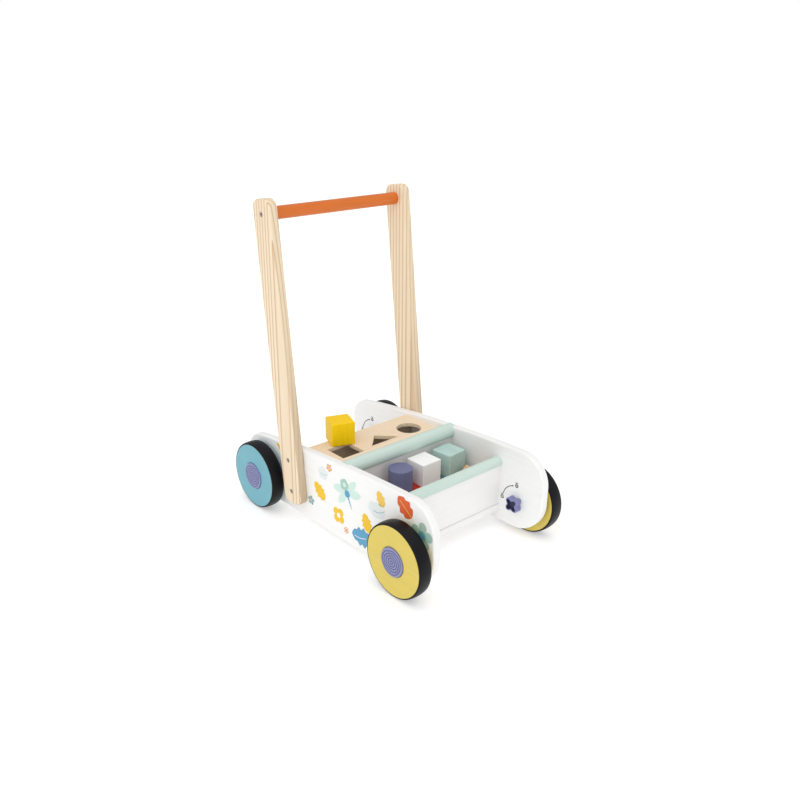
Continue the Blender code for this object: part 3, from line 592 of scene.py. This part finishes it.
def make_handle():
    handle = middle("handle_bar")
    low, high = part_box("handle_bar")
    radius = (high.z - low.z) / 2
    bar = turned("push_bar", [(low.x, radius), (high.x, radius)], handle.y, handle.z, 72)
    piece(bar, "orange_paint", "root", ["handle_bar"])
    for side, sign in SIDES:
        low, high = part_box(side + "_post")
        post = slab(side + "_upright", post_outline(handle), low.x, high.x, POST_EDGE_ROUND, 5)
        bolts = [side + "_handle_screw", side + "_upper_post_bolt", side + "_lower_post_bolt"]
        outer = sign * max(abs(low.x), abs(high.x))
        radius = HEAD_RADIUS + HEAD_PLAY
        hole = [(outer - sign * HEAD_HOLE_DEPTH, radius), (outer + sign * 0.01, radius)]
        carve(post, [turned("cutter", hole, middle(node).y, middle(node).z, 40) for node in bolts])
        piece(post, side + "_pine", "root", [side + "_post"])
        # The narrow faces take the edge material, whose wood is drawn darker towards the foot as
        # painted shade
        post.data.materials.append(MATERIALS[side + "_pine_edge"])
        for face in post.data.polygons:
            face.material_index = int(abs(face.normal.x) < 0.5)
        for node in bolts:
            make_bolt(node, sign)
        for level in ("upper", "lower"):
            make_nut(f"{side}_{level}_post_nut", sign)


def make_bolt(node, sign):
    low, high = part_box(node)
    tip, top = (low.x, high.x) if sign > 0 else (high.x, low.x)
    seat = top - sign * HEAD_HEIGHT
    profile = rounded([(tip, SHANK_RADIUS * 0.7), (tip + sign * 0.0008, SHANK_RADIUS),
                       (seat, SHANK_RADIUS), (seat, HEAD_RADIUS), (top, HEAD_RADIUS),
                       (top, 0.0018)], [0, 0, 0, 0, 0.0006, 0])
    y, z = middle(node).y, middle(node).z
    head = socket_head(node + "_hex", profile, 0.0026, 0.002, y, z, sign)
    piece(head, "steel", "root", [node])


def make_nut(node, sign):
    low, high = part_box(node)
    face, end = (low.x, high.x) if sign > 0 else (high.x, low.x)
    proud = face - sign * NUT_PROUD
    back = face + sign * 0.0011
    profile = rounded([(end, 0.0024), (end, NUT_BARREL_RADIUS), (back, NUT_BARREL_RADIUS),
                       (back, NUT_FLANGE_RADIUS), (proud, NUT_FLANGE_RADIUS), (proud, 0.0026)],
                      [0, 0, 0, 0, 0.0007, 0])
    y, z = middle(node).y, middle(node).z
    head = socket_head(node + "_hex", profile, 0.0034, 0.0025, y, z, -sign)
    piece(head, "steel", "root", [node])


# Wheels and brake knobs ---------------------------------------------------------------------------

def wavy_ring(name, centre_y, centre_z, x_low, x_high, radius, width, phase):
    """A thin closed band, slightly out of round like a tree's growth ring."""
    def reach(a, offset):
        wave = 1 + 0.035 * math.sin(2 * a + phase) + 0.03 * math.sin(3 * a - 2 * phase)
        wave += 0.012 * math.sin(7 * a + 3 * phase)
        return radius * wave + offset
    angles = [2 * math.pi * k / 96 for k in range(96)]
    half = width / 2
    rings = []
    for x, offset in ((x_low, -half), (x_high, -half), (x_high, half), (x_low, half)):
        rings.append([(x, centre_y + reach(a, offset) * math.cos(a),
                       centre_z + reach(a, offset) * math.sin(a)) for a in angles])
    return ringed(name, rings, closed=True)


def join(name, parts):
    """Several meshes as one object."""
    shape = bmesh.new()
    for part in parts:
        shape.from_mesh(part.data)
        bpy.data.objects.remove(part, do_unlink=True)
    mesh = bpy.data.meshes.new(name)
    shape.to_mesh(mesh)
    shape.free()
    obj = bpy.data.objects.new(name, mesh)
    bpy.context.scene.collection.objects.link(obj)
    return obj


def make_wheel(corner, sign, disc_paint):
    body = corner + "_wheel"
    low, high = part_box(corner + "_tyre")
    y, z = (low.y + high.y) / 2, (low.z + high.z) / 2
    inner, outer = (low.x, high.x) if sign > 0 else (high.x, low.x)
    crown = (high.z - low.z) / 2
    disc_low, disc_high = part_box(corner + "_wheel_disc")
    disc_in, disc_out = (disc_low.x, disc_high.x) if sign > 0 else (disc_high.x, disc_low.x)
    disc_radius = (disc_high.z - disc_low.z) / 2
    shoulder = crown - TREAD_DROP
    waist = (inner + outer) / 2
    tread = []
    for k in range(17):
        u = TREAD_SHARE * (k / 8 - 1)
        tread.append((waist + (outer - waist) * u, crown - TREAD_DROP * abs(u) ** 2.2))
    seat = disc_radius + 0.0001
    profile = rounded([(inner, seat), (inner, shoulder), *tread, (outer, shoulder), (outer, seat)],
                      [0, 0.0017, *[0] * 17, 0.0017, 0], 8)
    piece(turned(corner + "_tread", profile, y, z, 144, closed=True), "rubber", body,
          [corner + "_tyre"], 60)
    cap_low, cap_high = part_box(corner + "_hub_cap")
    cap_in, cap_out = (cap_low.x, cap_high.x) if sign > 0 else (cap_high.x, cap_low.x)
    cap_radius = (cap_high.y - cap_low.y) / 2
    well = cap_radius + HUB_GAP
    floor = cap_in - sign * 0.0003
    profile = rounded([(disc_in, AXLE_HOLE), (disc_in, disc_radius), (disc_out, disc_radius),
                       (disc_out, well), (floor, well), (floor, AXLE_HOLE)],
                      [0, 0.0008, 0.0007, 0.0003, 0, 0])
    piece(turned(corner + "_disc", profile, y, z, 144, closed=True), disc_paint, body,
          [corner + "_wheel_disc"])
    profile = rounded([(cap_in, cap_radius), (cap_out, cap_radius), (cap_out, 0.003)],
                      [0, 0.0008, 0])
    piece(turned(corner + "_cap", profile, y, z, 96), "violet_hub", body,
          [corner + "_hub_cap"])
    ring_low, ring_high = sorted((cap_out - sign * 0.0002, cap_out + sign * 0.00012))
    bands = [wavy_ring("band", y, z, ring_low, ring_high, HUB_RING_FIRST + HUB_RING_STEP * k,
                       HUB_RING_WIDTH, 0.6 + 0.55 * k) for k in range(HUB_RINGS)]
    piece(join(corner + "_cap_rings", bands), "hub_ring", body)


def lobed_ring(x, y, z, mean, lobe, count=96):
    """A ring whose radius swings by lobe about its mean, four times round."""
    ring = []
    for k in range(count):
        a = 2 * math.pi * (k + 0.5) / count
        r = mean - lobe * math.cos(4 * a)
        ring.append((x, y + r * math.cos(a), z + r * math.sin(a)))
    return ring


def is_recess(face, y, z):
    """Whether a face of a knob lies inside its recess."""
    across, up = face.center.y - y, face.center.z - z
    rim = KNOB_RADIUS - 0.0012 - KNOB_LOBE * math.cos(4 * math.atan2(up, across))
    return math.hypot(across, up) < rim


def make_knob(corner, sign):
    """A four-lobed cup with a cross-shaped recess, drawn darker inside with painted shade; its back
    lies on the side panel's inner face.
    """
    node = corner + "_brake_knob"
    low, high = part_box(node)
    y, z = (low.y + high.y) / 2, (low.z + high.z) / 2
    back, front = (high.x, low.x) if sign > 0 else (low.x, high.x)
    mean, lobe = KNOB_RADIUS, KNOB_LOBE
    inward = -sign
    layers = [(back, mean - 0.0006, lobe), (back + inward * 0.0006, mean, lobe)]
    for k in range(6):
        t = math.pi / 2 * k / 5
        layers.append((front - inward * 0.0009 * (1 - math.sin(t)),
                       mean - 0.0009 * (1 - math.cos(t)), lobe))
    for k in range(4):
        t = math.pi / 2 * k / 3
        layers.append((front - inward * 0.0005 * (1 - math.cos(t)),
                       mean - 0.0017 - 0.0005 * math.sin(t), lobe * 1.1))
    layers += [(front - inward * KNOB_RECESS_DEPTH, mean - 0.0030, lobe * 1.15),
               (front - inward * (KNOB_RECESS_DEPTH + 0.0004), mean - 0.0052, lobe)]
    rings = [lobed_ring(x, y, z, m, w) for x, m, w in layers]
    cup = piece(ringed(corner + "_knob_cup", rings), "knob_plastic", corner + "_knob",
                [node], 50)
    # Faces inside the recess take a painted shade, a darker violet, for the shade that falls in the
    # hollow
    cup.data.materials.append(MATERIALS["knob_recess_painted_shade"])
    for face in cup.data.polygons:
        corners = [cup.data.vertices[i].co for i in face.vertices]
        deep = max(abs(co.x - front) for co in corners)
        far = max(math.hypot(co.y - y, co.z - z) for co in corners)
        if deep > 0.0006 and far < mean - 0.0014 + lobe * 1.2 and abs(face.center.x - back) > 0.001:
            face.material_index = int(is_recess(face, y, z))


def make_wheels():
    for end in ENDS:
        disc_paint = "mustard_paint" if end == "front" else "teal_paint"
        for side, sign in SIDES:
            corner = f"{end}_{side}"
            make_wheel(corner, sign, disc_paint)
            make_knob(corner, sign)


# Blocks -------------------------------------------------------------------------------------------

def make_blocks():
    for node, paint, slot in (("red_block", "red_paint", "red_paint"),
                              ("teal_cube", "teal_paint", "teal_paint"),
                              ("natural_cube", "natural_wood", "natural_wood"),
                              ("white_cube", "white_cube", "white_paint")):
        cube = rounded_box(node + "_wood", *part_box(node), 0.0012)
        piece(cube, paint, node + "_body", [node])
    # The boxes of the turned cubes are wider than the cubes, so their height gives their size
    for node, paint, slot, turn in (
            ("yellow_cube", "yellow_paint", "yellow_paint", YELLOW_CUBE_TURN),
            ("mint_cube", "mint_cube", "mint_paint", MINT_CUBE_TURN)):
        low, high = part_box(node)
        half = (high.z - low.z) / 2
        centre = (low + high) / 2
        reach = Vector((half, half, half))
        cube = rounded_box(node + "_wood", centre - reach, centre + reach, 0.0013, turn)
        piece(cube, paint, node + "_body", [node])
    low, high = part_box("violet_cylinder")
    centre = (low + high) / 2
    radius = (high.z - low.z) / 2
    layers = rounded([(low.z, 0.002), (low.z, radius), (high.z, radius), (high.z, 0.002)],
                     [0, 0.0011, 0.0011, 0])
    angles = [2 * math.pi * k / 96 for k in range(96)]
    rings = [[(centre.x + r * math.cos(a), centre.y + r * math.sin(a), h) for a in angles]
             for h, r in layers]
    piece(ringed("violet_cylinder_wood", rings), "violet_block", "violet_cylinder_body",
          ["violet_cylinder"])


# Printed motifs, of plain leaves and flowers ------------------------------------------------------

class Print:
    """Flat shapes on a face across X, one object for each ink and level."""

    def __init__(self, name, face_x, outward):
        self.name = name
        self.inks = {}
        self.face = face_x
        self.outward = outward

    def add(self, ink, points, level=0):
        """points: a simple loop of (y, z) in millimetres; level lifts a shape that lies on another."""
        self.inks.setdefault((ink, level), []).append(points)

    def build(self):
        for (ink, level), loops in self.inks.items():
            back = self.face - self.outward * 0.0001
            front = self.face + self.outward * (0.00008 + 0.00003 * level)
            parts = []
            for loop in loops:
                rings = [[(x, y * MM, z * MM) for y, z in loop] for x in (back, front)]
                parts.append(ringed("flat", rings))
            obj = join(f"{self.name}_{ink}_{level}", parts)
            piece(obj, ink, "root")


def spline(points, steps=8):
    """A smooth open curve through points."""
    out = []
    padded = [points[0]] + list(points) + [points[-1]]
    for a, b, c, d in zip(padded, padded[1:], padded[2:], padded[3:]):
        for k in range(steps):
            t = k / steps
            out.append(tuple(0.5 * (2 * q + (r - p) * t + (2 * p - 5 * q + 4 * r - s) * t * t
                                    + (3 * q - p - 3 * r + s) * t ** 3)
                             for p, q, r, s in zip(a, b, c, d)))
    out.append(tuple(points[-1]))
    return out


def line(points, width, taper=1.0):
    """The outline of a drawn line, with its width at the start and the share of it at the end."""
    left, right = [], []
    curve = spline(points)
    for i, (y, z) in enumerate(curve):
        a = Vector(curve[max(i - 1, 0)])
        b = Vector(curve[min(i + 1, len(curve) - 1)])
        along = (b - a).normalized()
        share = i / (len(curve) - 1)
        across = Vector((-along.y, along.x)) * width / 2 * (1 + (taper - 1) * share)
        left.append((y + across.x, z + across.y))
        right.append((y - across.x, z - across.y))
    return left + right[::-1]


def leaf(tip, base, width, lobes=0, depth=0.2, steps=56):
    """A leaf from its base to its tip, with rounded lobes along its sides if asked."""
    tip, base = Vector(tip), Vector(base)
    along = tip - base
    across = Vector((-along.y, along.x)).normalized()
    left, right = [], []
    for k in range(steps + 1):
        t = k / steps
        half = width / 2 * math.sin(math.pi * t ** 0.85) ** 0.62
        if lobes:
            wave = 0.5 + 0.5 * math.cos(2 * math.pi * lobes * t)
            half *= 1 - depth * wave * math.sin(math.pi * t) ** 0.5
        rib = base + along * t
        left.append(tuple(rib + across * half))
        right.append(tuple(rib - across * half))
    return left + right[::-1][1:-1]


def flower(centre, radius, petals, depth=0.35, turn=0.0, squash=1.0, steps=96):
    points = []
    for k in range(steps):
        a = 2 * math.pi * k / steps
        r = radius * (1 - depth + depth * abs(math.cos(petals * (a - turn) / 2)) ** 0.6)
        points.append((centre[0] + r * math.cos(a) * squash, centre[1] + r * math.sin(a)))
    return points


def dot(centre, radius, steps=28):
    turns = [2 * math.pi * k / steps for k in range(steps)]
    return [(centre[0] + radius * math.cos(a), centre[1] + radius * math.sin(a)) for a in turns]


def petals(sheet, ink, centre, reach, radius, count, turn):
    """Round petals, apart from one another, at reach from the middle."""
    for k in range(count):
        a = turn + 2 * math.pi * k / count
        middle_point = (centre[0] + reach * math.cos(a), centre[1] + reach * math.sin(a))
        sheet.add(ink, dot(middle_point, radius))


def meadow(sheet):
    """Leaves and flowers scattered over a side panel's outer face, in (y, z) millimetres."""
    sheet.add("ink_yellow", leaf((45, 89), (19, 66), 25, 4, 0.26))
    sheet.add("ink_yellow", line([(21, 68), (16, 63)], 1.3, 0.6))
    sheet.add("ink_gold", line([(40, 84.5), (31, 77), (22, 69)], 0.7, 1.0), 1)
    sheet.add("ink_gold", leaf((-112, 135), (-124, 112), 20, 3, 0.22))
    sheet.add("ink_gold", line([(-123.5, 114), (-127, 108)], 1.1, 0.6))
    sheet.add("ink_yellow", line([(-114, 130), (-118, 122), (-123.5, 114)], 0.7), 1)
    sheet.add("ink_yellow", leaf((-80, 84), (-91, 54), 25, 4, 0.25))
    sheet.add("ink_orange", leaf((-156, 144), (-185, 120), 31, 3, 0.26))
    sheet.add("ink_gold", line([(-160, 139.5), (-172, 130.5), (-184, 121.5), (-190, 116)],
                               1.1, 0.7), 1)
    sheet.add("ink_blue", leaf((-50, 37), (-97, 41), 35, 4, 0.28))
    sheet.add("ink_white", line([(-56, 35.5), (-70, 36), (-84, 40.5)], 1.0), 1)
    sheet.add("ink_yellow", flower((-16.7, 53.5), 15, 4, 0.42, math.radians(38)))
    sheet.add("ink_white", flower((-16.7, 53.5), 4.6, 4, 0.2, math.radians(38)), 1)
    petals(sheet, "ink_amber", (-35.6, 34.7), 4.2, 1.7, 6, 0.3)
    sheet.add("ink_orange", dot((-35.6, 34.7), 1.7), 1)
    petals(sheet, "ink_amber", (5.6, 128.1), 4.6, 2.4, 5, 0.9)
    sheet.add("ink_orange", dot((5.6, 128.1), 1.5), 1)
    petals(sheet, "ink_sage", (56.2, 50.8), 5.4, 2.9, 5, 0.4)
    sheet.add("ink_amber", dot((56.2, 50.8), 2.2), 1)
    sheet.add("ink_cloud", flower((22, 113), 11.5, 5, 0.16, 0.3, 1.1))
    sheet.add("ink_sage", line([(28, 111.5), (20, 110.5), (12, 113.5)], 0.8, 0.6), 1)
    sheet.add("ink_cloud", flower((-109, 101), 13.5, 6, 0.14, 0.8, 1.45))
    sheet.add("ink_sage", line([(-101, 98.5), (-110, 98), (-120, 101.5), (-128, 107)], 1.2, 0.5), 1)
    sprig(sheet)
    sheet.add("ink_mint", flower((-206.5, 101), 22, 5, 0.5, math.radians(96)))
    sheet.add("ink_sage", flower((-207, 101), 8.5, 8, 0.2, 0.2), 1)
    sheet.add("ink_blue", dot((-207, 101), 5.2), 2)
    sheet.add("ink_yellow", leaf((150, 121), (134, 112), 9, 3, 0.2))
    sheet.add("ink_amber", line([(-214, 112), (-207, 118), (-203, 111)], 1.0, 0.7), 1)


def sprig(sheet):
    """A stem with a row of buds, a round blossom and two pairs of pale leaves."""
    for level, (tip, base, width) in enumerate((
            ((-5, 100), (-33, 105), 15), ((-17, 78), (-36, 99), 14),
            ((-60, 128), (-42, 106), 14), ((-72, 109), (-44, 102), 15))):
        sheet.add("ink_pale", leaf(tip, base, width), level)
    sheet.add("ink_mint", flower((-32.5, 113.5), 10.5, 5, 0.18, 0.5), 4)
    sheet.add("ink_pale", flower((-32.5, 113.5), 4.2, 5, 0.25, 0.5), 5)
    sheet.add("ink_sage", line([(-37, 102), (-41, 95), (-45, 88), (-50, 78)], 2.8, 0.25), 6)
    sheet.add("ink_blue", dot((-39.3, 100.2), 6.3), 7)
    for k in range(3):
        sheet.add("ink_blue", dot((-42.6 - 2.0 * k, 92.4 - 4.3 * k), 1.9 - 0.3 * k), 7)


def turn_signs(sheet, y, z):
    """An arc with an arrowhead at each end by a brake knob, and a ring and a bar at each end."""
    def on_arc(degrees):
        a = math.radians(degrees)
        return y + SIGN_RADIUS * math.cos(a), z + SIGN_RADIUS * math.sin(a)
    sheet.add("ink_dark", line([on_arc(a) for a in (20, 33, 46, 58, 69)], 1.3))
    for a, way in ((17, -1), (72, 1)):
        at = Vector(on_arc(a))
        along = Vector((-math.sin(math.radians(a)), math.cos(math.radians(a)))) * way
        across = Vector((-along.y, along.x))
        sheet.add("ink_dark", [tuple(at + along * 2.0), tuple(at + across * 1.7 - along * 1.2),
                               tuple(at - across * 1.7 - along * 1.2)])
    for a in (0, 88):
        cy = y + 30 * math.cos(math.radians(a))
        cz = z + (30 if a else 26) * math.sin(math.radians(a))
        sheet.add("ink_dark", dot((cy, cz), 3.3))
        sheet.add("ink_white", dot((cy, cz), 1.6), 1)
        if a:
            sheet.add("ink_dark", dot((cy, cz), 0.9), 2)
        sheet.add("ink_dark", line([(cy - 2.6, cz + 5.0), (cy + 2.6, cz + 5.0)], 1.5))


def make_prints():
    for side, sign in SIDES:
        low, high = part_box(side + "_side_panel")
        outer, inner = (high.x, low.x) if sign > 0 else (low.x, high.x)
        sheet = Print(side + "_print", outer, sign)
        meadow(sheet)
        sheet.build()
        signs = Print(side + "_signs", inner, -sign)
        for end in ENDS:
            centre = middle(f"{end}_{side}_brake_knob") / MM
            turn_signs(signs, centre.y, centre.z)
        signs.build()


# CAD nodes that stay ------------------------------------------------------------------------------

def dress(node, paint, bevel=0.0):
    obj = frame["nodes"][node]
    for slot in obj.material_slots:
        slot.material = MATERIALS[paint]
    if bevel:
        modifier = obj.modifiers.new("soft edges", "BEVEL")
        modifier.width = bevel
        modifier.segments = 3
        modifier.limit_method = "ANGLE"
        modifier.harden_normals = True


def dress_cad():
    dress("natural_roof", "natural_wood", 0.0008)
    for end in ENDS:
        for side, _ in SIDES:
            dress(f"{end}_{side}_axle_bolt", "steel")
            dress(f"{end}_{side}_washer", "nylon")


# Studio -------------------------------------------------------------------------------------------

def make_stage():
    floor = object_from("studio_floor", [(-30, -30, 0), (30, -30, 0), (30, 30, 0), (-30, 30, 0)],
                        [(0, 1, 2, 3)])
    n = Nodes("floor_paper", 0.8, specular=0.0)
    n.shader.inputs["Base Color"].default_value = (0.80, 0.80, 0.80, 1)
    n.shader.inputs["Emission Color"].default_value = (1, 1, 1, 1)
    n.shader.inputs["Emission Strength"].default_value = 0.34
    floor.data.materials.append(n.mat)
    world = bpy.data.worlds.new("studio")
    bpy.context.scene.world = world
    world.use_nodes = True
    tree = world.node_tree
    # The sky's light is brightest from the front right above, and dimmest from the opposite side
    sky = tree.nodes["Background"]
    sky.inputs["Color"].default_value = (1, 1, 1, 1)
    way = tree.nodes.new("ShaderNodeTexCoord")
    facing = tree.nodes.new("ShaderNodeVectorMath")
    facing.operation = "DOT_PRODUCT"
    facing.inputs[1].default_value = Vector(SKY_BRIGHTEST).normalized()
    share = tree.nodes.new("ShaderNodeMapRange")
    for key, number in (("From Min", -1), ("From Max", 1), ("To Min", SKY_STRENGTH[0]),
                        ("To Max", SKY_STRENGTH[1])):
        share.inputs[key].default_value = number
    tree.links.new(way.outputs["Generated"], facing.inputs[0])
    tree.links.new(facing.outputs["Value"], share.inputs["Value"])
    tree.links.new(share.outputs["Result"], sky.inputs["Strength"])
    # Straight ahead of the camera the backdrop is plain white
    backdrop = tree.nodes.new("ShaderNodeBackground")
    backdrop.inputs["Color"].default_value = (1, 1, 1, 1)
    path = tree.nodes.new("ShaderNodeLightPath")
    mix = tree.nodes.new("ShaderNodeMixShader")
    tree.links.new(path.outputs["Is Camera Ray"], mix.inputs["Fac"])
    tree.links.new(sky.outputs["Background"], mix.inputs[1])
    tree.links.new(backdrop.outputs["Background"], mix.inputs[2])
    tree.links.new(mix.outputs["Shader"], tree.nodes["World Output"].inputs["Surface"])


def make_sun(name, towards, strength, angle, tint=(1, 1, 1)):
    light = bpy.data.lights.new(name, "SUN")
    light.energy = strength
    light.angle = math.radians(angle)
    light.color = tint
    obj = bpy.data.objects.new(name, light)
    obj.rotation_euler = Vector(towards).to_track_quat("-Z", "Y").to_euler()
    bpy.context.scene.collection.objects.link(obj)


def make_camera():
    ahead = Vector(CAMERA_AHEAD).normalized()
    level = ahead.cross(Vector((0, 0, 1))).normalized()
    upright = level.cross(ahead)
    right = level * math.cos(CAMERA_ROLL) + upright * math.sin(CAMERA_ROLL)
    up = right.cross(ahead)
    camera = bpy.data.cameras.new("camera")
    camera.lens = CAMERA_LENS
    camera.sensor_width = 36
    camera.clip_end = 100
    obj = bpy.data.objects.new("camera", camera)
    turn = Matrix((right, up, -ahead)).transposed()
    obj.matrix_world = Matrix.Translation(Vector(CAMERA_PLACE)) @ turn.to_4x4()
    bpy.context.scene.collection.objects.link(obj)
    bpy.context.scene.camera = obj


make_body()
make_sorter()
make_handle()
make_wheels()
make_blocks()
make_prints()
dress_cad()
make_stage()
make_sun("key", (0.75, 0.35, -0.80), 0.30, 45, (1.0, 0.995, 0.985))
make_sun("top", (0.10, 0.15, -1.0), 0.50, 60)
make_camera()
bpy.context.scene.view_settings.view_transform = "Standard"
